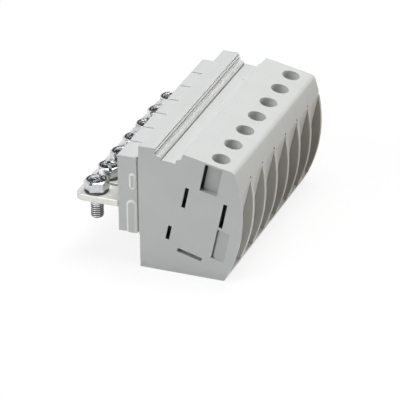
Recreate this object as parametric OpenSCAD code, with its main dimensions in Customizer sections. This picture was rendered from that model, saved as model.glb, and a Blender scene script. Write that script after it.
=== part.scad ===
// Feed-through terminal block: a row of moulded poles that sit in a wall cut-out.
// Each pole clamps a wire at its front with a screw-driven cage and carries the current
// on a bent bar through the wall to a screwed tab at its rear.
// Millimetres. X runs along the row, the wires enter from -Y, Z is up, and the part stands on Z = 0.

/* [Row] */
// Number of poles in the row
poles = 7; // [1:1:8]
// Distance from one pole to the next, which is also a pole's whole width
pole_pitch = 15; // [14.5:0.5:22]
// Thickness of the cover that closes the open side of a pole
cover_t = 1; // [0.8:0.1:1.6]
// Thickness of the closed side wall of a pole beside its wire pocket
side_wall = 1; // [0.8:0.1:1.4]

/* [Housing profile] */
// Height of the flange behind the marker channel
flange_h = 60.15; // [60:0.05:66]
// Depth of the flange's top, from the wall
flange_d = 7.9; // [6:0.1:8.2]
// Depth at which the marker channel's floor starts
channel_rear_d = 10.8; // [10.4:0.1:12]
// Depth at which the marker channel's floor ends
channel_front_d = 17.4; // [15.5:0.1:17.6]
// Height of the marker channel's floor at its rear
channel_rear_h = 55.15; // [54.8:0.05:55.5]
// Height of the marker channel's floor at its front
channel_front_h = 54.45; // [54:0.05:55]
// Depth at which the sloped top starts
top_d = 21.2; // [20.6:0.1:23]
// Furthest that the bulged front stands from the wall
belly_d = 48.75; // [48.5:0.25:54]
// Height at which the front stands furthest out
belly_z = 32.6; // [30:0.2:36]
// Radius of the bulged front, in side view
belly_r = 65.15; // [60:0.05:80]
// Rounding between the sloped top and the front
brow_r = 3; // [1:0.5:5]
// Rounding between the front and the base
toe_r = 1.5; // [0.5:0.25:3]

/* [Neck through the wall] */
// Length of the neck behind the mounting face
neck_l = 10.3; // [8:0.1:14]
// Height of the neck's underside
neck_low = 16.2; // [12:0.1:20]
// Height of the neck's top
neck_high = 53.8; // [45:0.1:54]
// How far the neck's side stands back from the pole's side
neck_set = 0.6; // [0.4:0.1:0.8]
// Width of the sloped flanks of the raised forms on the neck's side
boss_flank = 1; // [0.6:0.1:1.2]
// Depth of the line at the neck's root
root_depth = 1.8; // [1:0.1:2.4]

/* [Wire clamp] */
// Lean of the clamp, its screw and the sloped top towards the front
tilt = 12; // [10:0.5:13]
// Depth of the clamp's centre, from the wall
clamp_d = 28.8; // [28.4:0.1:30]
// Height of the clamp's centre
clamp_z = 21.9; // [21.4:0.1:22.4]
// Height of the sloped top above the clamp's centre, along the lean
top_w = 35.4; // [35:0.1:37]
// Opening between the cage's floor and the bar, with the clamp open
wire_gap = 8; // [7:0.25:8]
// Travel of the cage from open to closed
clamp_travel = 7.5; // [5:0.25:7.5]
// Length of the cage along the wire
cage_l = 11; // [8:0.5:11.5]
// Thickness of the cage's sides
cage_side = 1.2; // [0.8:0.1:1.4]
// Thickness of the cage's floor
cage_floor = 1.6; // [1.2:0.1:2.2]
// Thickness of the cage's threaded top
cage_top = 3.5; // [3:0.25:4]
// Thread diameter of the clamp screw
screw_d = 6; // [5:0.5:6.5]
// Diameter of the clamp screw's head
screw_head_d = 8.2; // [7.4:0.1:8.4]
// Height of the clamp screw's head
screw_head_h = 3.5; // [2.5:0.25:5]
// Width of the driver slot in the clamp screw
driver_slot_w = 1.2; // [0.8:0.1:1.6]
// Depth of the driver slot in the clamp screw
driver_slot_h = 1.8; // [1:0.1:2.4]

/* [Wire pocket] */
// Distance of the pocket's back wall from the clamp's centre, along the wire
pocket_u = 13.4; // [13:0.1:14.4]
// Distance of the pocket's floor below the clamp's centre, along the lean
pocket_low = 14.3; // [12:0.1:15]
// Slanted strip between the pocket's back wall and its sides
pocket_chamfer = 1.8; // [0.8:0.1:2.4]
// Diameter of the wire hole
wire_hole_d = 7.4; // [5:0.1:7.5]
// Diameter of the funnel's mouth at the pocket's back wall
funnel_d = 11; // [9:0.25:12]
// Length of the funnel
funnel_l = 2.4; // [1:0.1:4]

/* [Current bar] */
// Thickness of the current bar
bar_t = 3; // [2.5:0.25:3.25]
// Width of the current bar inside the housing
bar_w = 8; // [7:0.25:8.5]
// Distance from the clamp's centre to the bar's front end
bar_front = 6.6; // [6.2:0.1:7]
// Distance from the clamp's centre back to the bend
bar_bend = 8; // [7:0.25:10]
// Width of the tab behind the neck
tab_w = 13; // [10:0.25:14]
// Reach of the tab behind the mounting face
tab_reach = 31.75; // [29:0.25:38]
// Rounding of the tab's free corners
tab_corner = 4; // [1:0.5:5]

/* [Lug screw] */
// Thread diameter of the lug screw
lug_d = 6; // [5:0.5:6]
// Distance of the lug screw behind the mounting face
lug_reach = 23.5; // [21:0.25:25]
// Length of the lug screw under its head
lug_l = 14.1; // [10:0.1:18]
// Size of the hexagonal head across its flats
lug_head_af = 10; // [9:0.5:11]
// Height of the hexagonal head
lug_head_h = 4.7; // [4:0.1:5.5]
// Outside diameter of the spring washer
washer_d = 11.25; // [9.5:0.25:12]
// Thickness of the spring washer
washer_t = 1; // [0.8:0.1:2]
// Width of the split in the spring washer
washer_split = 1; // [0.5:0.1:2]

/* [Side recesses] */
// Width of the narrow slots in the closed side
slot_w = 1.8; // [1:0.1:2]
// Depth of the cells behind the narrow slots
slot_depth = 4.5; // [3:0.25:5]
// Thickness of the side wall that the narrow slots go through
slot_wall = 0.9; // [0.6:0.1:1.4]
// Depth of the pocket near the top
side_pocket_depth = 2.6; // [1:0.1:2.7]
// Depth of the wedge-shaped recess at its deep edge
wedge_depth = 0.9; // [0.5:0.1:1.6]
// Depth of the groove along the wedge-shaped recess's deep edge
wedge_groove_depth = 2.2; // [1.8:0.1:2.6]

/* [Fits] */
// Radial clearance of a screw in its thread and of a head in its shaft
thread_gap = 0.05; // [0.02:0.01:0.09]
// Play of the cage in its chamber and of the bar in its channel
play = 0.2; // [0.1:0.05:0.3]
// Gap between faces that bear on each other but move
seat_gap = 0.05; // [0.02:0.01:0.1]

/* [Hidden] */
$fn = 64;
big = 100;
kinds = ["housing", "side_cover", "current_bar", "clamp_cage", "clamp_screw", "lug_screw", "spring_washer"];

plastic = [0.80, 0.82, 0.80];
tinned = [0.83, 0.83, 0.80];
zinc = [0.74, 0.75, 0.77];

// The mounting face lies where the part's depth is centred on Y = 0
wall_y = (belly_d - tab_reach) / 2;
pole_left = -pole_pitch / 2;
cover_x = pole_pitch / 2 - cover_t;

// The bulged front's circle, and where the two roundings have their centres.
// A rounding's circle stands a little past both of its edges, so that it crosses them and isn't tangent.
rounding_bite = 0.02;
belly_c = [belly_d - belly_r, belly_z];
toe_h = toe_r - rounding_bite;
toe_c = [belly_c[0] + sqrt(pow(belly_r - toe_h, 2) - pow(belly_z - toe_h, 2)), toe_h];
belly_lean = [
    (belly_c[0] - clamp_d) * cos(tilt) - (belly_c[1] - clamp_z) * sin(tilt),
    (belly_c[0] - clamp_d) * sin(tilt) + (belly_c[1] - clamp_z) * cos(tilt)
];
brow_h = brow_r - rounding_bite;
brow_w = top_w - brow_h;
brow_u = belly_lean[0] + sqrt(pow(belly_r - brow_h, 2) - pow(brow_w - belly_lean[1], 2));

// Steps of the marker channel's two sides
riser_ledge = [1.4, 0.25];
riser_foot = [0.8, 1.25];
lip_foot = [0.4, 1.65];
lip_ledge = [2.7, 2.25];
riser_groove = [0.5, 0.9];
riser_grooves = [0.6, 2.15];

// Levels along the lean, from the wire's axis
bar_low = wire_gap / 2;
bar_high = bar_low + bar_t;
cage_top_low = bar_high + play;
cage_top_high = cage_top_low + cage_top;
chamber_low = -wire_gap / 2 - cage_floor - seat_gap;
chamber_high = cage_top_high + clamp_travel + play;
head_low = chamber_high + play;
head_high = head_low + screw_head_h;
shaft_d = screw_head_d + 2 * thread_gap;
chamber_u = cage_l / 2 + play;

// The cage's inside passes the bar, and its outside passes the chamber
cage_in = bar_w / 2 + play;
cage_out = cage_in + cage_side;
chamber_x = cage_out + play;

// Where the bar runs level behind its bend
tab_low = clamp_z + bar_bend * sin(tilt) + bar_low * cos(tilt);
tab_high = tab_low + bar_t;
washer_high = tab_high + washer_t;
washer_in_d = lug_d + 4 * thread_gap;
neck_clear = 0.5;

// Pegs that locate the side cover, as depth and height
peg_d = 3;
peg_l = 3;
pegs = [[6, 8], [10, 46], [33, 6.5]];

// Narrow slots in the closed side, as the two ends of each in the lean frame,
// and how far the cell behind each slot reaches behind and in front of it
slots = [
    [[-10.2, 10.4], [-10.2, 18.8]],
    [[8.4, 7.2], [8.4, 17.6]],
    [[-14.2, -7.95], [-14.2, -2.75]]
];
cells = [[2.2, 1.6], [0.9, 2.4], [2.2, 2.2]];
low_slot = [[-7.7, -12.25], [2.35, -12.8]];
low_slot_depth = 3.2;
side_pocket = [[-4.6, top_w - 14.5], [3.7, top_w - 1]];
side_pocket_slot_w = 0.85;
side_pocket_slot_depth = 3.6;
side_pocket_cell = 2;
wedge = [[7.2, -10], [pocket_u, 5]];
wedge_groove_w = 0.7;

function pole_x(k) = (k - (poles + 1) / 2) * pole_pitch;

// Depth and height of a point that is given along the wire and up along the lean
function lean_point(u, w) = [
    clamp_d + u * cos(tilt) + w * sin(tilt),
    clamp_z - u * sin(tilt) + w * cos(tilt)
];

// Puts a pole's piece at its place in the row
module at_pole(k) {
    translate([pole_x(k), wall_y, 0]) children();
}

// Extrudes a side view, drawn as depth from the wall and height, between two X values
module slab(x_from, x_to) {
    translate([x_to, 0, 0]) rotate([90, 0, -90]) linear_extrude(x_to - x_from) children();
}

// The leaning frame of the clamp, in side view: along the wire, and up along the screw
module lean_2d() {
    translate([clamp_d, clamp_z]) rotate(-tilt) children();
}

// The leaning frame in space: X across, -Y along the wire to the front, Z up along the screw
module lean() {
    translate([0, -clamp_d, clamp_z]) rotate([tilt, 0, 0]) children();
}

// A rectangle between two corners
module box_2d(low, high) {
    translate(low) square([high[0] - low[0], high[1] - low[1]]);
}

// A straight slot with square ends between two points
module slot_2d(from, to, width) {
    along = to - from;
    translate(from) rotate(atan2(along[1], along[0])) translate([-width / 2, -width / 2])
        square([norm(along) + width, width]);
}

// Top outline with its flange, marker channel and slope, closed far in front of the bulge
module top_outline() {
    far = belly_d + 10;
    slope_h = clamp_z + (top_w - (top_d - clamp_d) * sin(tilt)) / cos(tilt);
    far_h = slope_h - (far - top_d) * tan(tilt);
    riser = [channel_rear_d - riser_foot[0], channel_rear_h + riser_foot[1]];
    polygon([
        [0, 0], [far, 0], [far, far_h], [top_d, slope_h],
        [channel_front_d + lip_ledge[0], channel_front_h + lip_ledge[1]],
        [channel_front_d + lip_foot[0], channel_front_h + lip_foot[1]],
        [channel_front_d, channel_front_h], [channel_rear_d, channel_rear_h],
        riser, riser + [-riser_ledge[0], riser_ledge[1]],
        [flange_d, flange_h], [0, flange_h]
    ]);
}

// Fine grooves along the upper part of the channel's rear side, and one at its foot
module riser_groove_lines() {
    foot = [channel_rear_d - riser_foot[0] - riser_ledge[0], channel_rear_h + riser_foot[1] + riser_ledge[1]];
    crest = [flange_d, flange_h];
    along = (crest - foot) / norm(crest - foot);
    for (down = riser_grooves)
        translate(crest - along * down) rotate(atan2(along[1], along[0]))
            square([riser_groove[0], 2 * riser_groove[1]], center = true);
    translate([channel_rear_d, channel_rear_h])
        square([riser_groove[0], 2 * riser_groove[1]], center = true);
}

// Outline of a pole in front of the wall, with its bulged front and rounded corners
module front_outline() {
    difference() {
        intersection() {
            top_outline();
            translate(belly_c) circle(belly_r);
        }
        riser_groove_lines();
        lean_2d() corner([brow_u, brow_w], [0, 1], [brow_u, brow_w] - belly_lean, brow_r);
        corner(toe_c, toe_c - belly_c, [0, -1], toe_r);
    }
}

// What a rounding takes off a corner: its centre, the directions to its two ends, and its radius
module corner(centre, first, last, radius) {
    a = first / norm(first);
    b = last / norm(last);
    reach = 4 * radius;
    difference() {
        polygon([centre, centre + reach * a, centre + reach * (a + b), centre + reach * b]);
        translate(centre) circle(radius);
    }
}

// Whole side outline: the front part and the neck through the wall
module side_outline() {
    front_outline();
    box_2d([-neck_l, neck_low], [toe_r, neck_high]);
}

// Side view of the current bar, level behind its bend; grow widens it into a channel
module bar_side(grow = 0) {
    mitre = tan(tilt / 2);
    low = bar_low - grow;
    high = bar_high + grow;
    polygon([
        lean_point(bar_front + grow, low), lean_point(-bar_bend + grow * mitre, low),
        [-tab_reach, tab_low - grow], [-tab_reach, tab_high + grow],
        lean_point(-bar_bend - (bar_t + grow) * mitre, high), lean_point(bar_front + grow, high)
    ]);
}

// Hollow for the cage, open towards the side cover
module chamber() {
    slab(-chamber_x, cover_x + play)
        lean_2d() box_2d([-chamber_u, chamber_low], [chamber_u, chamber_high]);
}

// Channel for the bar, open towards the side cover
module bar_channel() {
    slab(-bar_w / 2 - play, cover_x + play) intersection() {
        bar_side(play);
        box_2d([-neck_l - 1, 0], [big, big]);
    }
}

// Wire pocket between the ribs, with slanted strips beside its back wall
module wire_pocket() {
    inner = pole_left + side_wall;
    far = pocket_u + big;
    strip = pocket_u + pocket_chamfer;
    lean() translate([0, 0, -pocket_low]) linear_extrude(big) polygon([
        [inner, -far], [inner, -strip], [inner + pocket_chamfer, -pocket_u],
        [cover_x - pocket_chamfer, -pocket_u], [cover_x, -strip], [cover_x, -far]
    ]);
}

// Wire hole with its funnel
module wire_entry() {
    lean() rotate([90, 0, 0]) {
        cylinder(d = wire_hole_d, h = pocket_u + 1);
        translate([0, 0, pocket_u - funnel_l])
            cylinder(d1 = wire_hole_d, d2 = funnel_d, h = funnel_l);
        translate([0, 0, pocket_u]) cylinder(d = funnel_d, h = pocket_chamfer);
    }
}

// Shaft for the screwdriver, from the sloped top to the cage's chamber
module driver_shaft() {
    lean() translate([0, 0, chamber_high - 1]) cylinder(d = shaft_d, h = top_w);
}

// Recesses in the closed side of a pole
module side_recesses() {
    face = pole_left - 1;
    slab(face, pole_left + slot_depth) lean_2d() {
        for (s = slots) slot_2d(s[0], s[1], slot_w);
        slot_2d(low_slot[0], low_slot[0], slot_w);
    }
    slab(pole_left + slot_wall, pole_left + slot_depth) lean_2d()
        for (i = [0 : len(slots) - 1])
            box_2d(slots[i][0] - [cells[i][0], slot_w / 2], slots[i][1] + [cells[i][1], slot_w / 2]);
    slab(face, pole_left + low_slot_depth) lean_2d() slot_2d(low_slot[0], low_slot[1], slot_w);
    slab(face, pole_left + side_pocket_depth) lean_2d() box_2d(side_pocket[0], side_pocket[1]);
    slab(face, pole_left + side_pocket_slot_depth) lean_2d()
        box_2d(side_pocket[0], [side_pocket[0][0] + side_pocket_slot_w, side_pocket[1][1]]);
    slab(pole_left + slot_wall, pole_left + slot_depth) lean_2d()
        box_2d(
            side_pocket[0] - [side_pocket_cell, 0],
            [side_pocket[0][0] + side_pocket_slot_w / 4, side_pocket[1][1]]
        );
    lean() translate([0, 0, wedge[0][1]]) linear_extrude(wedge[1][1] - wedge[0][1]) polygon([
        [face, -wedge[0][0]], [pole_left + wedge_groove_depth, -wedge[0][0]],
        [pole_left + wedge_groove_depth, -wedge[0][0] - wedge_groove_w],
        [pole_left + wedge_depth, -wedge[0][0] - wedge_groove_w],
        [pole_left, -wedge[1][0]], [face, -wedge[1][0]]
    ]);
}

// What the neck's side stands back by: all but a raised oval and arch, and a deeper line at its root
module neck_reliefs() {
    root_line = [-1.3, -0.3];
    face = pole_left - 1;
    oval_r = 1.65;
    oval_ends = [39.4, 44.2];
    arch_r = 2.5;
    arch_ends = [neck_low - 2 * arch_r, 29.9];
    slab(face, pole_left + root_depth) box_2d([root_line[0], neck_low - 1], [root_line[1], neck_high + 1]);
    difference() {
        slab(face, pole_left + neck_set) box_2d([-neck_l - 1, neck_low - 1], [root_line[1], neck_high + 1]);
        neck_boss(-3.3, oval_ends, oval_r);
        neck_boss(-3.9, arch_ends, arch_r);
    }
}

// A form on the neck's side with sloped flanks and round ends: its depth, the heights of its ends' centres
// and its radius at the neck's side. It stands a little past both faces, so that they cut it.
module neck_boss(depth, ends, radius) {
    past = 0.1;
    lean_out = boss_flank / neck_set;
    foot_r = radius + past * lean_out;
    crown_r = radius - boss_flank - past * lean_out;
    rise = neck_set + 2 * past;
    clear = rise + 1;
    half = [[foot_r, 0], [crown_r, rise], [crown_r, clear]];
    translate([pole_left + neck_set + past, -depth, 0]) rotate([0, -90, 0]) {
        for (z = ends) translate([z, 0, 0]) rotate_extrude() polygon(concat([[0, 0]], half, [[0, clear]]));
        translate([ends[0], 0, 0]) rotate([90, 0, 90]) linear_extrude(ends[1] - ends[0])
            polygon(concat(
                [for (p = half) [p[0] - rounding_bite, p[1]]],
                [for (i = [2 : -1 : 0]) [rounding_bite - half[i][0], half[i][1]]]
            ));
    }
}

// Pegs of the side cover, or their holes when grown
module peg_row(grow = 0) {
    for (p = pegs)
        translate([cover_x + 0.5, -p[0], p[1]]) rotate([0, -90, 0])
            cylinder(d = peg_d + 2 * grow, h = peg_l + 0.5 + grow);
}

// Moulded pole with one open side
module housing() {
    color(plastic) difference() {
        slab(pole_left, cover_x) side_outline();
        chamber();
        bar_channel();
        wire_pocket();
        wire_entry();
        driver_shaft();
        side_recesses();
        neck_reliefs();
        peg_row(thread_gap);
    }
}

// Thin cover that closes the open side, with pegs and a key that holds the bar
module side_cover() {
    pip_d = 1.5;
    pip_z = belly_z + 13.3;
    pip_deep = 1.2;
    pip_y = -belly_c[0] - sqrt(pow(belly_r, 2) - pow(pip_z - belly_z, 2)) + pip_deep;
    color(plastic) {
        difference() {
            slab(cover_x, cover_x + cover_t) side_outline();
            translate([cover_x + cover_t / 2, pip_y, pip_z]) rotate([90, 0, 0]) cylinder(d = pip_d, h = big);
        }
        peg_row();
        slab(bar_w / 2 + play, cover_x + cover_t / 2) intersection() {
            bar_side();
            box_2d([-neck_l, 0], [big, big]);
            lean_2d() box_2d([-big, -big], [-chamber_u - play, big]);
        }
    }
}

// Bar that leans through the clamp, bends level and widens to a tab behind the neck
module current_bar() {
    color(tinned) difference() {
        intersection() {
            slab(-tab_w / 2, tab_w / 2) bar_side();
            translate([0, 0, tab_low - big / 2]) linear_extrude(big) bar_plan();
        }
        translate([0, lug_reach, 0]) cylinder(d = lug_d + 2 * thread_gap, h = big);
    }
}

// Plan of the bar: narrow in the housing, wide with rounded corners behind it
module bar_plan() {
    shoulder = neck_l + neck_clear;
    translate([-bar_w / 2, -big]) square([bar_w, big + shoulder + 1]);
    translate([-tab_w / 2, shoulder]) square([tab_w, tab_reach - tab_corner - shoulder]);
    translate([-tab_w / 2 + tab_corner, shoulder]) square([tab_w - 2 * tab_corner, tab_reach - shoulder]);
    for (side = [-1, 1])
        translate([side * (tab_w / 2 - tab_corner), tab_reach - tab_corner]) circle(tab_corner);
}

// Rectangular cage that lifts the wire against the bar
module clamp_cage() {
    color(zinc) lean() difference() {
        translate([-cage_out, -cage_l / 2, -wire_gap / 2 - cage_floor])
            cube([2 * cage_out, cage_l, cage_top_high + wire_gap / 2 + cage_floor]);
        translate([-cage_in, -cage_l, -wire_gap / 2])
            cube([2 * cage_in, 2 * cage_l, cage_top_low + wire_gap / 2]);
        cylinder(d = screw_d + 2 * thread_gap, h = big);
    }
}

// Slotted screw that bears on the bar and draws the cage up
module clamp_screw() {
    tip = bar_high + seat_gap;
    point = 0.8;
    color(zinc) lean() difference() {
        union() {
            translate([0, 0, tip]) cylinder(d1 = screw_d - 2 * point, d2 = screw_d, h = point);
            translate([0, 0, tip + point]) cylinder(d = screw_d, h = head_low - tip - point);
            translate([0, 0, head_low]) cylinder(d = screw_head_d, h = screw_head_h);
        }
        translate([-screw_head_d, -driver_slot_w / 2, head_high - driver_slot_h])
            cube([2 * screw_head_d, driver_slot_w, screw_head_h]);
    }
}

// Hexagon screw with a cross and slot in its head
module lug_screw() {
    crown = 0.9;
    dish_d = 7.4;
    dish_h = 0.6;
    cross_w = 1.5;
    cross_l = 5.2;
    cross_h = 2.4;
    corner_d = lug_head_af / cos(30);
    color(zinc) translate([0, lug_reach, washer_high]) difference() {
        union() {
            translate([0, 0, -lug_l + crown]) cylinder(d = lug_d, h = lug_l - crown);
            translate([0, 0, -lug_l]) cylinder(d1 = lug_d - crown, d2 = lug_d, h = crown);
            intersection() {
                cylinder(d = corner_d, h = lug_head_h, $fn = 6);
                union() {
                    cylinder(d = corner_d + 1, h = lug_head_h - crown);
                    translate([0, 0, lug_head_h - crown])
                        cylinder(d1 = corner_d, d2 = lug_head_af - crown, h = crown);
                }
            }
        }
        translate([0, 0, lug_head_h - dish_h]) cylinder(d = dish_d, h = big);
        for (turn = [0, 90]) rotate(turn)
            translate([-cross_l / 2, -cross_w / 2, lug_head_h - cross_h]) cube([cross_l, cross_w, big]);
        translate([-big / 2, -cross_w / 2, lug_head_h - cross_h / 2]) cube([big, cross_w, big]);
    }
}

// Split washer under the lug screw's head
module spring_washer() {
    color(zinc) translate([0, lug_reach, tab_high]) difference() {
        cylinder(d = washer_d, h = washer_t);
        translate([0, 0, -1]) cylinder(d = washer_in_d, h = washer_t + 2);
        translate([-washer_split / 2, 0, -1]) cube([washer_split, washer_d, washer_t + 2]);
    }
}

for (k = [1 : poles]) {
    at_pole(k) housing();
    at_pole(k) side_cover();
    at_pole(k) current_bar();
    at_pole(k) clamp_cage();
    at_pole(k) clamp_screw();
    at_pole(k) lug_screw();
    at_pole(k) spring_washer();
}
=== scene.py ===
"""Looks of the feed-through terminal block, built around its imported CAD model."""

import math

import bmesh
import bpy
from mathutils import Matrix, Vector


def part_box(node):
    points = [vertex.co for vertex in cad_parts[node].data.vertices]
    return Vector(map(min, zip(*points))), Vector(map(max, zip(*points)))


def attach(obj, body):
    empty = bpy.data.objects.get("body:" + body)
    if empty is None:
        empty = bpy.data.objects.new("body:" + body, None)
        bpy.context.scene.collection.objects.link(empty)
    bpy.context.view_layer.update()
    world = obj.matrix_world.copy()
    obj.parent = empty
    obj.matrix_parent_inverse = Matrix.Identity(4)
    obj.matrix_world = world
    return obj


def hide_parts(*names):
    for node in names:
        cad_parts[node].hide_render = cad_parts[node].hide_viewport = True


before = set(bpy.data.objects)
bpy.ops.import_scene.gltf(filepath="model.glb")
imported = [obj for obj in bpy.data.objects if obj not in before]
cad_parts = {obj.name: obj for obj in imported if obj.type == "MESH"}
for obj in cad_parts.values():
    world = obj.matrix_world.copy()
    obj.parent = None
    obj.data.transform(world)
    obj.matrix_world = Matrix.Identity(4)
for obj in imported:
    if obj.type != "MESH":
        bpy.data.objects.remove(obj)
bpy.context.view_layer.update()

MM = 0.001
TOUCH = 1e-6  # metres within which corners and faces meet
POLES = 7
POLE_PITCH = 15 * MM
COVER_T = 1 * MM
RIB_T = 1 * MM

# The mounting face, and the leaning frame of the wire clamp, as in the part's source
WALL_Y = 8.5 * MM
TILT = math.radians(12)
CLAMP_AT = Vector((0, WALL_Y - 28.8 * MM, 21.9 * MM))
LEAN_UP = Vector((0, -math.sin(TILT), math.cos(TILT)))
WIRE_OUT = Vector((0, -math.cos(TILT), -math.sin(TILT)))

# In that frame, in millimetres: the pocket's back wall along the wire, its floor up the lean,
# a level just above that floor, and the lower end of the driver shaft
POCKET_U = 13.4
POCKET_FLOOR, POCKET_LOW = -14.3, -14.2
SHAFT_LOW = 20

# The slanted strip beside the pocket's back wall, and the driver shaft's radius with some slack
POCKET_STRIP = 1.8 * MM
SHAFT_R = 4.2 * MM

# The rear side of the marker channel: depths from the mounting face at which its grooved part
# starts and ends and its foot ends, and the height that it stays above
RISER_START, RISER_END, RISER_FOOT_END = 7.0 * MM, 9.3 * MM, 10.6 * MM
RISER_LOW = 55.6 * MM

# Widths of the roundings, and the share that a pole's edges get, other than its rib's
POLE_ROUND, BAR_ROUND, CAGE_ROUND, HEAD_ROUND = 0.36 * MM, 0.22 * MM, 0.25 * MM, 0.12 * MM
PLAIN_SHARE = 0.22

# Levels and threads of the screws
LUG_Y = WALL_Y + 23.5 * MM
WASHER_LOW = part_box("spring_washer_1")[0][2]
WASHER_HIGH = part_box("spring_washer_1")[1][2]
LUG_LENGTH = 14.1 * MM
CLAMP_TIP_W = 7.05 * MM
CLAMP_HEAD_W = 18.6 * MM
SCREW_R, THREAD_PITCH = 3.0 * MM, 1.0 * MM
THREAD_OVERLAP = 0.2 * MM

# How far each lug screw's head and spring washer are turned, in degrees
LUG_TURNS = (-8.5, 27, -16, 38, 12, -24, 19)
WASHER_TURNS = (95, 75, 150, 20, 310, 110, 50)

# Recesses in the closed side of a pole, where painted shade goes, and the hollows behind its
# slots, painted
# near black: along the wire, up the lean and inwards from the closed side, each from low to high
# in millimetres
RECESSES = (
    ((-6.8, 3.8), (20.8, 34.5), (0.2, 2.7)),
    ((7.1, 13.5), (-10.1, 5.1), (0.05, 2.3)),
    ((-9.0, 3.7), (-14.3, -10.9), (0.2, 3.3)),
)
HOLLOWS = (
    ((-12.6, -8.4), (9.3, 19.9), (0.95, 4.7)),
    ((7.3, 11.0), (6.1, 18.7), (0.95, 4.7)),
    ((-16.6, -11.8), (-9.1, -1.6), (0.95, 4.7)),
    ((-8.8, -6.6), (-13.4, -11.1), (3.3, 4.7)),
    ((-6.8, -3.6), (20.8, 34.5), (0.95, 4.7)),
)


def pole_x(k):
    """Middle of a pole along the row."""
    return (k - (POLES + 1) / 2) * POLE_PITCH


def joint_x(k):
    """Where a pole meets its cover along the row."""
    return pole_x(k) + POLE_PITCH / 2 - COVER_T


def link(name, data):
    """A new object at the origin that shows a mesh, a lamp or a camera."""
    piece = bpy.data.objects.new(name, data)
    bpy.context.scene.collection.objects.link(piece)
    return piece


class Nodes:
    """A node tree and short ways to add nodes to it."""

    def __init__(self, tree):
        self.tree = tree

    def give(self, node, inputs):
        """Sets inputs of a node, each to a value or to another node's output."""
        for key, value in inputs.items():
            if isinstance(value, bpy.types.NodeSocket):
                self.tree.links.new(value, node.inputs[key])
            else:
                node.inputs[key].default_value = value

    def node(self, kind, inputs=None, **settings):
        """A new node with its settings and inputs."""
        made = self.tree.nodes.new(kind)
        for key, value in settings.items():
            setattr(made, key, value)
        self.give(made, inputs or {})
        return made

    def math(self, operation, *values):
        """The result of an operation on values or outputs."""
        return self.node("ShaderNodeMath", dict(enumerate(values)), operation=operation).outputs[0]

    def mixed(self, share, first, second):
        """A mix of two colours."""
        inputs = {"Fac": share, "Color1": first, "Color2": second}
        return self.node("ShaderNodeMixRGB", inputs).outputs["Color"]


# Materials


class Finish(Nodes):
    """A material with a Principled shader."""

    def __init__(self, name):
        self.material = bpy.data.materials.new(name)
        self.material.use_nodes = True
        super().__init__(self.material.node_tree)
        self.shader = self.tree.nodes["Principled BSDF"]
        self.place = self.node("ShaderNodeTexCoord").outputs["Object"]

    def noise(self, scale, detail=2.0, roughness=0.5):
        """Noise on the object's own coordinates, with a cell of about 1/scale metres."""
        return self.node("ShaderNodeTexNoise", {
            "Scale": scale, "Detail": detail, "Roughness": roughness, "Vector": self.place,
        }).outputs["Fac"]

    def spread(self, source, low, high, start=0.3, end=0.7):
        """Maps a noise to a range of values."""
        return self.node("ShaderNodeMapRange", {
            "Value": source, "From Min": start, "From Max": end, "To Min": low, "To Max": high,
        }).outputs["Result"]

    def ramp(self, source, stops):
        """Maps a noise to colours."""
        made = self.node("ShaderNodeValToRGB", {"Fac": source})
        line = made.color_ramp
        while len(line.elements) < len(stops):
            line.elements.new(0.5)
        for element, (at, colour) in zip(line.elements, stops):
            element.position = at
            element.color = (*colour, 1)
        return made.outputs["Color"]

    def bump(self, source, height, strength, after=None):
        """The normals of a relief of that height in metres, on top of another relief's."""
        inputs = {"Height": source, "Distance": height, "Strength": strength}
        if after:
            inputs["Normal"] = after
        return self.node("ShaderNodeBump", inputs).outputs["Normal"]


def moulded_plastic(name, light, dark, rough):
    """Matt moulded plastic: a faint cloudiness, a fine grain and uneven gloss."""
    finish = Finish(name)
    cloud = finish.noise(scale=70, detail=3)
    gloss = finish.noise(scale=900, detail=3)
    grain = finish.bump(finish.noise(scale=5200, roughness=0.6), height=0.012 * MM, strength=0.5)
    waves = finish.bump(finish.noise(scale=160), height=0.03 * MM, strength=0.25, after=grain)
    finish.give(finish.shader, {
        "Base Color": finish.ramp(cloud, [(0.3, dark), (0.7, light)]),
        "Roughness": finish.spread(gloss, *rough),
        "Normal": waves,
        "Specular IOR Level": 0.4,
    })
    return finish.material


def bright_metal(name, light, dark, rough, grain=(2600, 0.010 * MM), groove_shade=None):
    """Plated metal with a mottled sheen and a fine grain, and painted shade in the grooves of a
    thread.
    """
    finish = Finish(name)
    mottle = finish.noise(scale=600, detail=4, roughness=0.6)
    colour = finish.ramp(mottle, [(0.32, dark), (0.68, light)])
    # Painted shade: the grooves of a thread darken towards their floor
    if groove_shade:
        groove = finish.node("ShaderNodeAttribute", attribute_name="groove").outputs["Fac"]
        share = finish.spread(groove, 0.0, 1.0, start=0.4, end=1.0)
        colour = finish.mixed(share, colour, (*groove_shade, 1))
    gloss = finish.noise(scale=1500, detail=3)
    grain_scale, relief = grain
    finish.give(finish.shader, {
        "Metallic": 1.0,
        "Base Color": colour,
        "Roughness": finish.spread(gloss, *rough),
        "Normal": finish.bump(finish.noise(grain_scale, detail=3), relief, strength=0.6),
    })
    return finish.material


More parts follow.
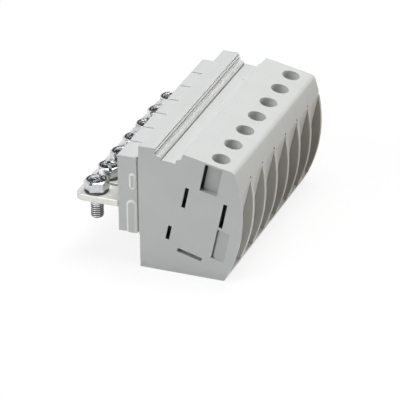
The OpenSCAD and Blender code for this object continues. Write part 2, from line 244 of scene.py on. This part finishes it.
# Each finish has a light and a dark colour and a range of roughness
PLASTIC = moulded_plastic(
    "grey_plastic", (0.612, 0.626, 0.615), (0.590, 0.605, 0.595), (0.46, 0.60)
)
# Painted highlight: a lighter plastic for the rib roundings beside the pocket, the boss flanks and
# the riser's grooved part
PLASTIC_PAINTED_HIGHLIGHT = moulded_plastic(
    "grey_plastic_edge", (0.900, 0.892, 0.862), (0.870, 0.862, 0.834), (0.34, 0.46)
)
# Painted shade: a darker plastic for the floors of the recesses in a pole's closed side
RECESS_PAINTED_SHADE = moulded_plastic(
    "grey_plastic_recess", (0.520, 0.532, 0.523), (0.496, 0.508, 0.500), (0.56, 0.70)
)
# Painted shade: a darker, warmer plastic for the walls that face across a wire pocket
POCKET_WALL_PAINTED_SHADE = moulded_plastic(
    "grey_plastic_wall", (0.560, 0.546, 0.515), (0.536, 0.522, 0.493), (0.50, 0.64)
)
# Painted light: a lighter plastic inside the driver shaft, on the pocket's back wall and on the
# riser's foot
PLASTIC_PAINTED_LIGHT = moulded_plastic(
    "grey_plastic_shaft", (0.730, 0.748, 0.732), (0.706, 0.724, 0.708), (0.40, 0.54)
)
# Painted shade: a near-black plastic in the hollows behind the slots
CELL_PAINTED_SHADE = moulded_plastic(
    "cell_shade", (0.060, 0.062, 0.060), (0.050, 0.052, 0.050), (0.60, 0.75)
)
ZINC = bright_metal("zinc_plate", (0.66, 0.67, 0.68), (0.52, 0.54, 0.56), (0.14, 0.26))
# Painted light: a lighter zinc than the heads', with painted shade in the grooves of the thread
THREAD = bright_metal(
    "zinc_thread", (0.80, 0.81, 0.83), (0.66, 0.68, 0.70), (0.14, 0.24), groove_shade=(0.10, 0.10, 0.105)
)
# Painted shade: near-black metal for the spring washers, which sit in shade under the heads
SPRING_PAINTED_SHADE = bright_metal("spring_steel", (0.11, 0.11, 0.115), (0.075, 0.075, 0.08), (0.30, 0.45))
TIN = bright_metal(
    "tin_plate", (0.73, 0.73, 0.69), (0.67, 0.67, 0.635), (0.48, 0.62), grain=(3800, 0.008 * MM)
)


# Softened copies of CAD solids


def solid_copy(node):
    """A copy of a CAD node's shape, with whole faces."""
    bm = bmesh.new()
    bm.from_mesh(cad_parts[node].data)
    return whole_faces(bm)


def whole_faces(bm, flat=math.radians(0.3)):
    """Merges the corners and the flat faces of a shape."""
    bmesh.ops.remove_doubles(bm, verts=bm.verts, dist=TOUCH)
    bmesh.ops.dissolve_limit(
        bm, angle_limit=flat, use_dissolve_boundaries=False, verts=bm.verts, edges=bm.edges
    )
    for face in bm.faces:
        face.material_index = 0
        face.smooth = True
    return bm


def softened(bm, name, width, materials, segments=3, share=None, crease=math.radians(28)):
    """A piece with rounded edges, each by its share of the width, that stays in the solid's box.

    The last material goes on the roundings.
    """
    weight = bm.edges.layers.float.new("bevel_weight_edge")
    for edge in bm.edges:
        if edge.calc_face_angle(0) > crease:
            edge[weight] = share(edge) if share else 1.0
            edge.smooth = edge[weight] > 0
    low, high = (
        [limit(v.co[axis] for v in bm.verts) for axis in range(3)] for limit in (min, max)
    )
    mesh = bpy.data.meshes.new(name)
    bm.to_mesh(mesh)
    bm.free()
    for material in materials:
        mesh.materials.append(material)
    piece = link(name, mesh)
    bevel = piece.modifiers.new("rounding", "BEVEL")
    bevel.limit_method = "WEIGHT"
    bevel.width = width
    bevel.segments = segments
    bevel.use_clamp_overlap = False
    bevel.material = len(materials) - 1
    bevel.miter_outer = "MITER_ARC"
    weighted = piece.modifiers.new("flat_faces", "WEIGHTED_NORMAL")
    weighted.keep_sharp = True
    weighted.weight = 80
    made_plain(piece)
    for corner in piece.data.vertices:
        corner.co = [min(max(c, a), b) for c, a, b in zip(corner.co, low, high)]
    return piece


def made_plain(piece):
    """Turns what the modifiers give into the piece's own mesh."""
    state = bpy.context.evaluated_depsgraph_get()
    mesh = bpy.data.meshes.new_from_object(
        piece.evaluated_get(state), preserve_all_data_layers=True, depsgraph=state
    )
    piece.modifiers.clear()
    old = piece.data
    piece.data = mesh
    if not old.users:
        bpy.data.meshes.remove(old)
    mesh.name = piece.name
    return piece


def joined(piece, other):
    """Adds another piece's shape and finish to a piece."""
    for face in other.data.polygons:
        face.material_index += len(piece.data.materials)
    for material in other.data.materials:
        piece.data.materials.append(material)
    bm = bmesh.new()
    bm.from_mesh(piece.data)
    bm.from_mesh(other.data)
    bm.to_mesh(piece.data)
    bm.free()
    bpy.data.objects.remove(other)
    return piece


def cut_below(bm, point, up):
    """Takes off what lies below a plane that a flat face lies in, and closes the hole."""
    low = [v for v in bm.verts if (v.co - point).dot(up) < -TOUCH]
    bmesh.ops.delete(bm, geom=low, context="VERTS")
    rim = [e for e in bm.edges if e.is_boundary]
    bmesh.ops.holes_fill(bm, edges=rim, sides=0)
    bmesh.ops.recalc_face_normals(bm, faces=bm.faces)


# Shapes that follow a rule


class ShapeTree(Nodes):
    """A Geometry Nodes tree with named inputs for its sizes, its place and its turn."""

    KINDS = {int: "NodeSocketInt", float: "NodeSocketFloat", tuple: "NodeSocketVector"}

    def __init__(self, name, sizes):
        super().__init__(bpy.data.node_groups.new(name, "GeometryNodeTree"))
        self.sockets = {}
        origin = (0.0, 0.0, 0.0)
        for label, value in {**sizes, "Place": origin, "Turn": origin}.items():
            socket = self.tree.interface.new_socket(
                label, in_out="INPUT", socket_type=self.KINDS[type(value)]
            )
            socket.default_value = value
            self.sockets[label] = socket.identifier
        self.tree.interface.new_socket(
            "Shape", in_out="OUTPUT", socket_type="NodeSocketGeometry"
        )
        self.given = self.node("NodeGroupInput").outputs

    def between(self, value, start, end, low, high):
        """Maps a value smoothly from one range to another, and holds it at the ends."""
        inputs = dict(enumerate((value, start, end, low, high)))
        made = self.node("ShaderNodeMapRange", inputs, interpolation_type="SMOOTHSTEP")
        return made.outputs[0]

    def finish(self, shape, material):
        """Places the shape, and ends the tree."""
        placed = self.node("GeometryNodeTransform", {
            "Geometry": shape, "Translation": self.given["Place"], "Rotation": self.given["Turn"],
        })
        smooth = self.node("GeometryNodeSetShadeSmooth", {"Geometry": placed.outputs["Geometry"]})
        real = self.node("GeometryNodeRealizeInstances", {"Geometry": smooth.outputs["Geometry"]})
        dressed = self.node("GeometryNodeSetMaterial", {
            "Geometry": real.outputs["Geometry"], "Material": material,
        })
        self.node("NodeGroupOutput", {"Shape": dressed.outputs["Geometry"]})

    def made(self, name, **sizes):
        """A plain mesh piece; an underscore stands for a space in an input's name."""
        piece = link(name, bpy.data.meshes.new(name))
        modifier = piece.modifiers.new("shape", "NODES")
        modifier.node_group = self.tree
        for label, value in sizes.items():
            modifier[self.sockets[label.replace("_", " ")]] = value
        mesh = made_plain(piece).data
        material = mesh.materials[mesh.polygons[0].material_index]
        mesh.materials.clear()
        mesh.materials.append(material)
        mesh.polygons.foreach_set("material_index", [0] * len(mesh.polygons))
        return piece


def threaded_rod():
    """A right-hand thread on a rod that stands on its chamfered tip."""
    tree = ShapeTree("threaded_rod", {
        "Radius": SCREW_R, "Length": 14.0 * MM, "Pitch": THREAD_PITCH, "Depth": 0.5 * MM,
        "Tip": 0.8 * MM, "Run out": 1.0 * MM, "Around": 32, "Rows": 180,
    })
    given = tree.given
    rod = tree.node("GeometryNodeMeshCylinder", {
        "Vertices": given["Around"], "Side Segments": given["Rows"], "Radius": given["Radius"],
        "Depth": given["Length"],
    }, fill_type="NGON")
    position = tree.node("GeometryNodeInputPosition").outputs[0]
    spot = tree.node("ShaderNodeSeparateXYZ", {0: position}).outputs
    height = tree.math("MULTIPLY_ADD", given["Length"], 0.5, spot["Z"])
    turns = tree.math("DIVIDE", tree.math("ARCTAN2", spot["Y"], spot["X"]), 2 * math.pi)
    climb = tree.math("SUBTRACT", tree.math("DIVIDE", height, given["Pitch"]), turns)
    from_crest = tree.math("ABSOLUTE", tree.math("SUBTRACT", tree.math("FRACT", climb), 0.5))
    crest_end, groove_floor = 0.08, 0.42
    groove = tree.between(from_crest, crest_end, groove_floor, 0.0, given["Depth"])
    to_head = tree.math("SUBTRACT", given["Length"], height)
    fade = tree.between(to_head, 0.0, given["Run out"], 0.0, 1.0)
    cut = tree.math("MULTIPLY", groove, fade)
    ridge = tree.math("SUBTRACT", given["Radius"], cut)
    tip = tree.math("ADD", tree.math("SUBTRACT", given["Radius"], given["Tip"]), height)
    share = tree.math("DIVIDE", tree.math("MINIMUM", ridge, tip), given["Radius"])
    spot_now = tree.node("ShaderNodeCombineXYZ", {
        "X": tree.math("MULTIPLY", spot["X"], share),
        "Y": tree.math("MULTIPLY", spot["Y"], share),
        "Z": height,
    })
    moved = tree.node("GeometryNodeSetPosition", {
        "Geometry": rod.outputs["Mesh"], "Position": spot_now.outputs[0],
    })
    marked = tree.node("GeometryNodeStoreNamedAttribute", {
        "Geometry": moved.outputs["Geometry"], "Name": "groove",
        "Value": tree.math("DIVIDE", cut, given["Depth"]),
    }, data_type="FLOAT", domain="POINT")
    tree.finish(marked.outputs["Geometry"], THREAD)
    return tree


def split_ring():
    """A spring washer: a square wire with softened corners, bent to a ring that is cut once."""
    tree = ShapeTree("split_ring", {
        "Middle": 4.3 * MM, "Width": 2.4 * MM, "Thickness": 1.4 * MM, "Rise": 0.15 * MM,
        "Corner": 0.2 * MM, "Start": 0.0, "Sweep": 6.0,
    })
    given = tree.given
    arc = tree.node("GeometryNodeCurveArc", {
        "Resolution": 72, "Radius": given["Middle"], "Start Angle": given["Start"],
        "Sweep Angle": given["Sweep"],
    })
    along = tree.node("GeometryNodeSplineParameter").outputs["Factor"]
    rise = tree.math("MULTIPLY", tree.math("SUBTRACT", along, 0.5), given["Rise"])
    lifted = tree.node("GeometryNodeSetPosition", {
        "Geometry": arc.outputs["Curve"],
        "Offset": tree.node("ShaderNodeCombineXYZ", {"Z": rise}).outputs[0],
    })
    level = tree.node("GeometryNodeSetCurveNormal", {
        "Curve": lifted.outputs["Geometry"],
    }, mode="Z_UP")
    section = tree.node("GeometryNodeCurvePrimitiveQuadrilateral", {
        "Width": given["Width"], "Height": given["Thickness"],
    })
    rounded = tree.node("GeometryNodeFilletCurve", {
        "Curve": section.outputs["Curve"], "Radius": given["Corner"], "Count": 3,
    }, mode="POLY")
    wire = tree.node("GeometryNodeCurveToMesh", {
        "Curve": level.outputs["Curve"], "Profile Curve": rounded.outputs["Curve"],
        "Fill Caps": True,
    })
    tree.finish(wire.outputs["Mesh"], SPRING_PAINTED_SHADE)
    return tree


ROD = threaded_rod()
RING = split_ring()


# Camera, floor and light


def camera_at(azimuth, elevation, roll, focal, place):
    """The photograph's camera; focal is in pixels of a frame of 400 pixels."""
    a, e, r = (math.radians(angle) for angle in (azimuth, elevation, roll))
    right = Vector((math.cos(a), math.sin(a), 0))
    back = Vector((math.sin(a) * math.cos(e), -math.cos(a) * math.cos(e), math.sin(e)))
    up = back.cross(right)
    rolled_right = math.cos(r) * right + math.sin(r) * up
    rolled_up = -math.sin(r) * right + math.cos(r) * up
    lens = bpy.data.cameras.new("camera")
    lens.sensor_width, frame_pixels = 36, 400
    lens.lens = focal / frame_pixels * lens.sensor_width
    lens.clip_start = 0.05
    lens.clip_end = 20
    camera = link("camera", lens)
    turn = Matrix((rolled_right, rolled_up, back)).transposed().to_4x4()
    camera.matrix_world = Matrix.Translation(Vector(place)) @ turn
    bpy.context.scene.camera = camera


def seen_directly(nodes):
    """A factor of 1 for what the camera and gloss see, and 0 for what only lights the scene."""
    path = nodes.node("ShaderNodeLightPath").outputs
    return nodes.math("MAXIMUM", path["Is Camera Ray"], path["Is Glossy Ray"])


def bounced_colour(nodes, white, front):
    """The floor's matt colour: white, but ahead of the block it throws back little, warm light."""
    spot = nodes.node("ShaderNodeTexCoord").outputs["Object"]
    to_front, zone_start, zone_end = (1.4, -1.0, 0.0), -0.03, 0.05
    reach = nodes.node("ShaderNodeVectorMath", {0: spot, 1: to_front}, operation="DOT_PRODUCT")
    ahead = nodes.node("ShaderNodeMapRange", {
        "Value": reach.outputs["Value"], "From Min": zone_start, "From Max": zone_end,
    })
    bounces = nodes.node("ShaderNodeLightPath").outputs["Is Diffuse Ray"]
    share = nodes.math("MULTIPLY", ahead.outputs["Result"], bounces)
    return nodes.mixed(share, (white, white, white, 1), (*front, 1))


def flat_sheet(name, width, height):
    """A flat mesh around the origin."""
    w, h = width / 2, height / 2
    mesh = bpy.data.meshes.new(name)
    mesh.from_pydata([(-w, -h, 0), (w, -h, 0), (w, h, 0), (-w, h, 0)], [], [(0, 1, 2, 3)])
    return mesh


def studio(floor_size, floor_white, floor_glow, world_light, front_bounce):
    """White floor that keeps a soft shadow, and a white world."""
    floor = link("floor", flat_sheet("floor", floor_size, floor_size))
    floor.location.z = -0.05 * MM
    material = bpy.data.materials.new("white_floor")
    material.use_nodes = True
    nodes = Nodes(material.node_tree)
    nodes.tree.nodes.clear()
    colour = bounced_colour(nodes, floor_white, front_bounce)
    matt = nodes.node("ShaderNodeBsdfDiffuse", {"Color": colour})
    glow = nodes.node("ShaderNodeEmission", {"Strength": 1.02})
    mix = nodes.node("ShaderNodeMixShader", {
        "Fac": nodes.math("MULTIPLY", seen_directly(nodes), floor_glow),
        1: matt.outputs["BSDF"],
        2: glow.outputs["Emission"],
    })
    nodes.node("ShaderNodeOutputMaterial", {"Surface": mix.outputs["Shader"]})
    floor.data.materials.append(material)
    world = bpy.data.worlds.new("white_studio")
    world.use_nodes = True
    nodes = Nodes(world.node_tree)
    strength = nodes.node("ShaderNodeMapRange", {
        "Value": seen_directly(nodes), "To Min": world_light, "To Max": 1.0,
    })
    nodes.give(nodes.tree.nodes["Background"], {
        "Color": (1, 1, 1, 1), "Strength": strength.outputs["Result"],
    })
    bpy.context.scene.world = world


def aim(piece, place, target):
    """Puts a lamp or a sheet at a place, where it faces a point."""
    piece.location = place
    look = Vector(target) - Vector(place)
    piece.rotation_euler = look.to_track_quat("-Z", "Y").to_euler()


def dark_card(name, place, size, shade=0.02):
    """A matt dark sheet out of view, which gives the block's metal something dark to show."""
    finish = Finish(name)
    finish.give(finish.shader, {
        "Base Color": (shade, shade, 1.1 * shade, 1), "Roughness": 0.9,
    })
    card = link(name, flat_sheet(name, *size))
    card.data.materials.append(finish.material)
    aim(card, place, (0, 0, 0))


def soft_box(name, place, target, size, watts, tint=(1, 1, 1)):
    """A large lamp that faces a point."""
    lamp = bpy.data.lights.new(name, "AREA")
    lamp.color = tint
    lamp.shape = "RECTANGLE"
    lamp.size, lamp.size_y = size
    lamp.energy = watts
    aim(link(name, lamp), place, target)


camera_at(
    azimuth=-68.541, elevation=27.80, roll=-0.567, focal=3316.2,
    place=(-1.25034, -0.491282, 0.717207),
)
studio(
    floor_size=12.0, floor_white=0.9, floor_glow=0.82, world_light=0.02,
    front_bounce=(0.13, 0.105, 0.08),
)
soft_box("overhead", (0.12, -0.08, 1.1), target=(0, 0, 0), size=(0.6, 1.0), watts=12.0)
soft_box(
    "left_high", (-0.9, 0.7, 0.95), target=(0, 0, 0.03), size=(0.8, 0.8), watts=7.6,
    tint=(0.97, 1.0, 1.0),
)
soft_box(
    "right_front", (0.30, -1.28, 0.16), target=(0, 0, 0.03), size=(0.5, 0.26), watts=5.2,
    tint=(1.0, 0.96, 0.91),
)
dark_card("far_card", (1.9, 0.75, 1.15), size=(2.4, 1.3), shade=0.06)
dark_card("left_card", (-0.55, 1.45, 0.55), size=(1.4, 0.9))
dark_card("right_card", (0.60, -1.55, 0.55), size=(1.4, 0.9))


# Poles and covers


def lean_place(point):
    """Where a point lies along the wire and up the clamp's lean, in millimetres."""
    spot = (point - CLAMP_AT) / MM
    return (
        -spot.y * math.cos(TILT) - spot.z * math.sin(TILT),
        -spot.y * math.sin(TILT) + spot.z * math.cos(TILT),
    )


def by_pocket(u, w):
    """Whether a place along the wire and up the lean is at the height and depth of a pocket."""
    return u > POCKET_U and w > POCKET_LOW


def square_pocket(bm, k):
    """Cuts a pole's wire pocket squarely up to its cover, where the solid has a slanted strip."""
    slack, past_front, past_top = 0.1 * MM, 10, 40
    box = bmesh.new()
    for x in (joint_x(k) - POCKET_STRIP - slack, joint_x(k) + slack):
        for u in (POCKET_U, POCKET_U + past_front):
            for w in (POCKET_FLOOR, past_top):
                spot = (WIRE_OUT * u + LEAN_UP * w) * MM
                box.verts.new(CLAMP_AT + Vector((x, 0, 0)) + spot)
    bmesh.ops.convex_hull(box, input=box.verts)
    pole, tool = (link(name, bpy.data.meshes.new(name)) for name in ("pole", "pocket_cut"))
    for piece, shape in ((pole, bm), (tool, box)):
        shape.to_mesh(piece.data)
    cut = pole.modifiers.new("cut", "BOOLEAN")
    cut.operation, cut.solver, cut.object = "DIFFERENCE", "EXACT", tool
    bm.clear()
    bm.from_mesh(made_plain(pole).data)
    for piece in (pole, tool):
        bpy.data.objects.remove(piece)
    box.free()
    return whole_faces(bm)


def pole_rounding(k, rib_x):
    """How much each edge is rounded: a rib's the most, and the joint with the cover not at all."""
    def share(edge):
        on_rib = all(abs(v.co.x - rib_x) < TOUCH for v in edge.verts)
        in_joint = all(abs(v.co.x - joint_x(k)) < TOUCH for v in edge.verts)
        beside_pocket = all(by_pocket(*lean_place(v.co)) for v in edge.verts)
        if beside_pocket and on_rib and edge.is_convex:
            return 1.0
        return 0.0 if in_joint or (beside_pocket and not edge.is_convex) else PLAIN_SHARE

    return share


def lies_in(hollow, depth, corners):
    """Whether a face at a depth, with corners along the wire and up the lean, is in a hollow."""
    along, upwards, inwards = hollow
    return inwards[0] < depth < inwards[1] and all(
        along[0] < u < along[1] and upwards[0] < w < upwards[1] for u, w in corners
    )


def pole_finish(face, corners, k):
    """The finish of a face of a pole or its cover, by its place: painted shade in the hollows,
    recesses and pocket walls, and painted highlight and painted light on chosen faces.
    """
    depth = (face.center.x - pole_x(k) + POLE_PITCH / 2) / MM
    # Painted shade: near black in the hollows behind the slots, darker on the recess floors
    for finish, hollows in ((CELL_PAINTED_SHADE, HOLLOWS), (RECESS_PAINTED_SHADE, RECESSES)):
        if any(lies_in(hollow, depth, corners) for hollow in hollows):
            return finish

    # Parts of a normal along a direction: it points that way mostly, partly or hardly at all
    mostly, partly, hardly = 0.9, 0.5, 0.1
    flank_low, flank_high, wall_slack = 0.4, 0.96, 0.01
    u, w = lean_place(face.center)
    beside_pocket = by_pocket(u, w)
    on_rounding = face.material_index == 1
    on_boss = face.center.y > WALL_Y and flank_low < -face.normal.x < flank_high
    back = WALL_Y - face.center.y
    upright = abs(face.normal.z) < mostly and abs(face.normal.x) < partly
    steep = upright and face.center.z > RISER_LOW
    on_riser = steep and RISER_START < back < RISER_END
    # Painted highlight on the rib roundings beside the pocket, the boss flanks and the riser's
    # grooved part
    if on_boss or on_riser or on_rounding and beside_pocket:
        return PLASTIC_PAINTED_HIGHLIGHT
    on_cover = abs(face.center.x - joint_x(k)) < TOUCH and face.normal.x < -mostly
    on_rib = abs(depth - RIB_T / MM) < TOUCH / MM and face.normal.x > mostly and beside_pocket
    # Painted shade on the walls that face across the wire pocket
    if on_cover or on_rib:
        return POCKET_WALL_PAINTED_SHADE
    across = abs(face.normal.dot(LEAN_UP)) < hardly
    from_axis = math.hypot(face.center.x - pole_x(k), u * MM)
    in_shaft = across and w > SHAFT_LOW and from_axis < SHAFT_R
    on_back_wall = across and abs(u - POCKET_U) < wall_slack and face.normal.y < -mostly
    # Painted light inside the driver shaft, on the pocket's back wall and on the riser's foot
    if in_shaft or on_back_wall or steep and RISER_END < back < RISER_FOOT_END:
        return PLASTIC_PAINTED_LIGHT
    return PLASTIC


def dress_pole(piece, k):
    """Gives the faces of a pole or its cover their finishes, painted shade and painted light among
    them.
    """
    mesh = piece.data
    for finish in (RECESS_PAINTED_SHADE, CELL_PAINTED_SHADE, POCKET_WALL_PAINTED_SHADE, PLASTIC_PAINTED_LIGHT):
        mesh.materials.append(finish)
    slots = {finish.name: number for number, finish in enumerate(mesh.materials)}
    for face in mesh.polygons:
        corners = [lean_place(mesh.vertices[v].co) for v in face.vertices]
        face.material_index = slots[pole_finish(face, corners, k).name]


def moulded(bm, name, k, rib_x):
    """A pole or its cover, with the edges of its rib rounded the most."""
    share = pole_rounding(k, rib_x)
    piece = softened(bm, name, POLE_ROUND, [PLASTIC, PLASTIC_PAINTED_HIGHLIGHT], share=share)
    dress_pole(piece, k)
    return piece


# Screws and washers


def with_thread(head, name, length, **sizes):
    """A screw's head joined with a threaded rod that reaches a little into it."""
    rod = ROD.made(
        name, Radius=SCREW_R, Length=length + THREAD_OVERLAP, Pitch=THREAD_PITCH, **sizes
    )
    return joined(head, rod)


def lug_screw(k):
    """Hexagon screw with a cross and slot, and a real thread."""
    axis = Vector((pole_x(k), LUG_Y, WASHER_HIGH))
    bm = solid_copy(f"lug_screw_{k}")
    cut_below(bm, axis, Vector((0, 0, 1)))
    turn = Matrix.Rotation(math.radians(LUG_TURNS[k - 1]), 3, "Z")
    bmesh.ops.rotate(bm, cent=axis, matrix=turn, verts=bm.verts)
    head = softened(bm, f"lug_screw_shape_{k}", HEAD_ROUND, [ZINC], segments=2)
    return with_thread(
        head, f"lug_thread_{k}", LUG_LENGTH, Depth=0.62 * MM, Tip=0.7 * MM, Run_out=1.2 * MM,
        Around=36, Rows=190, Place=axis - Vector((0, 0, LUG_LENGTH)),
    )


def clamp_screw(k):
    """Slotted screw with a real thread, below the driver shaft."""
    foot = CLAMP_AT + Vector((pole_x(k), 0, 0))
    bm = solid_copy(f"clamp_screw_{k}")
    cut_below(bm, foot + LEAN_UP * CLAMP_HEAD_W, LEAN_UP)
    head = softened(bm, f"clamp_screw_shape_{k}", HEAD_ROUND, [ZINC], segments=2)
    return with_thread(
        head, f"clamp_thread_{k}", CLAMP_HEAD_W - CLAMP_TIP_W, Depth=0.5 * MM, Tip=0.8 * MM,
        Run_out=0.6 * MM, Around=28, Rows=130, Place=foot + LEAN_UP * CLAMP_TIP_W,
        Turn=(TILT, 0.0, 0.0),
    )


def spring_washer(k):
    """Split ring that lies flat between the tab and the screw's head."""
    outer, inner, split = 5.6 * MM, 3.1 * MM, math.radians(9)
    rise = 0.12 * MM
    return RING.made(
        f"spring_washer_shape_{k}", Middle=(outer + inner) / 2, Width=outer - inner,
        Thickness=WASHER_HIGH - WASHER_LOW - rise, Rise=rise * 0.9, Corner=0.18 * MM,
        Start=math.radians(WASHER_TURNS[k - 1]), Sweep=2 * math.pi - split,
        Place=Vector((pole_x(k), LUG_Y, (WASHER_LOW + WASHER_HIGH) / 2)),
    )


def stand_for(piece, node, body):
    """A piece takes a CAD node's place on its body."""
    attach(piece, body)
    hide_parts(node)


for k in range(1, POLES + 1):
    side_x = pole_x(k) - POLE_PITCH / 2
    shape = square_pocket(solid_copy(f"housing_{k}"), k)
    pole = moulded(shape, f"moulded_pole_{k}", k, side_x + RIB_T)
    stand_for(pole, f"housing_{k}", "block")
    shape = solid_copy(f"side_cover_{k}")
    cover = moulded(shape, f"pole_cover_{k}", k, side_x + POLE_PITCH - COVER_T)
    stand_for(cover, f"side_cover_{k}", "block")
    bar = softened(solid_copy(f"current_bar_{k}"), f"bent_bar_{k}", BAR_ROUND, [TIN])
    stand_for(bar, f"current_bar_{k}", "block")
    cage = softened(solid_copy(f"clamp_cage_{k}"), f"wire_cage_{k}", CAGE_ROUND, [ZINC])
    stand_for(cage, f"clamp_cage_{k}", f"clamp_cage_{k}")
    stand_for(clamp_screw(k), f"clamp_screw_{k}", f"clamp_screw_{k}")
    stand_for(lug_screw(k), f"lug_screw_{k}", f"lug_screw_{k}")
    stand_for(spring_washer(k), f"spring_washer_{k}", f"spring_washer_{k}")

bpy.context.scene.view_settings.view_transform = "Standard"
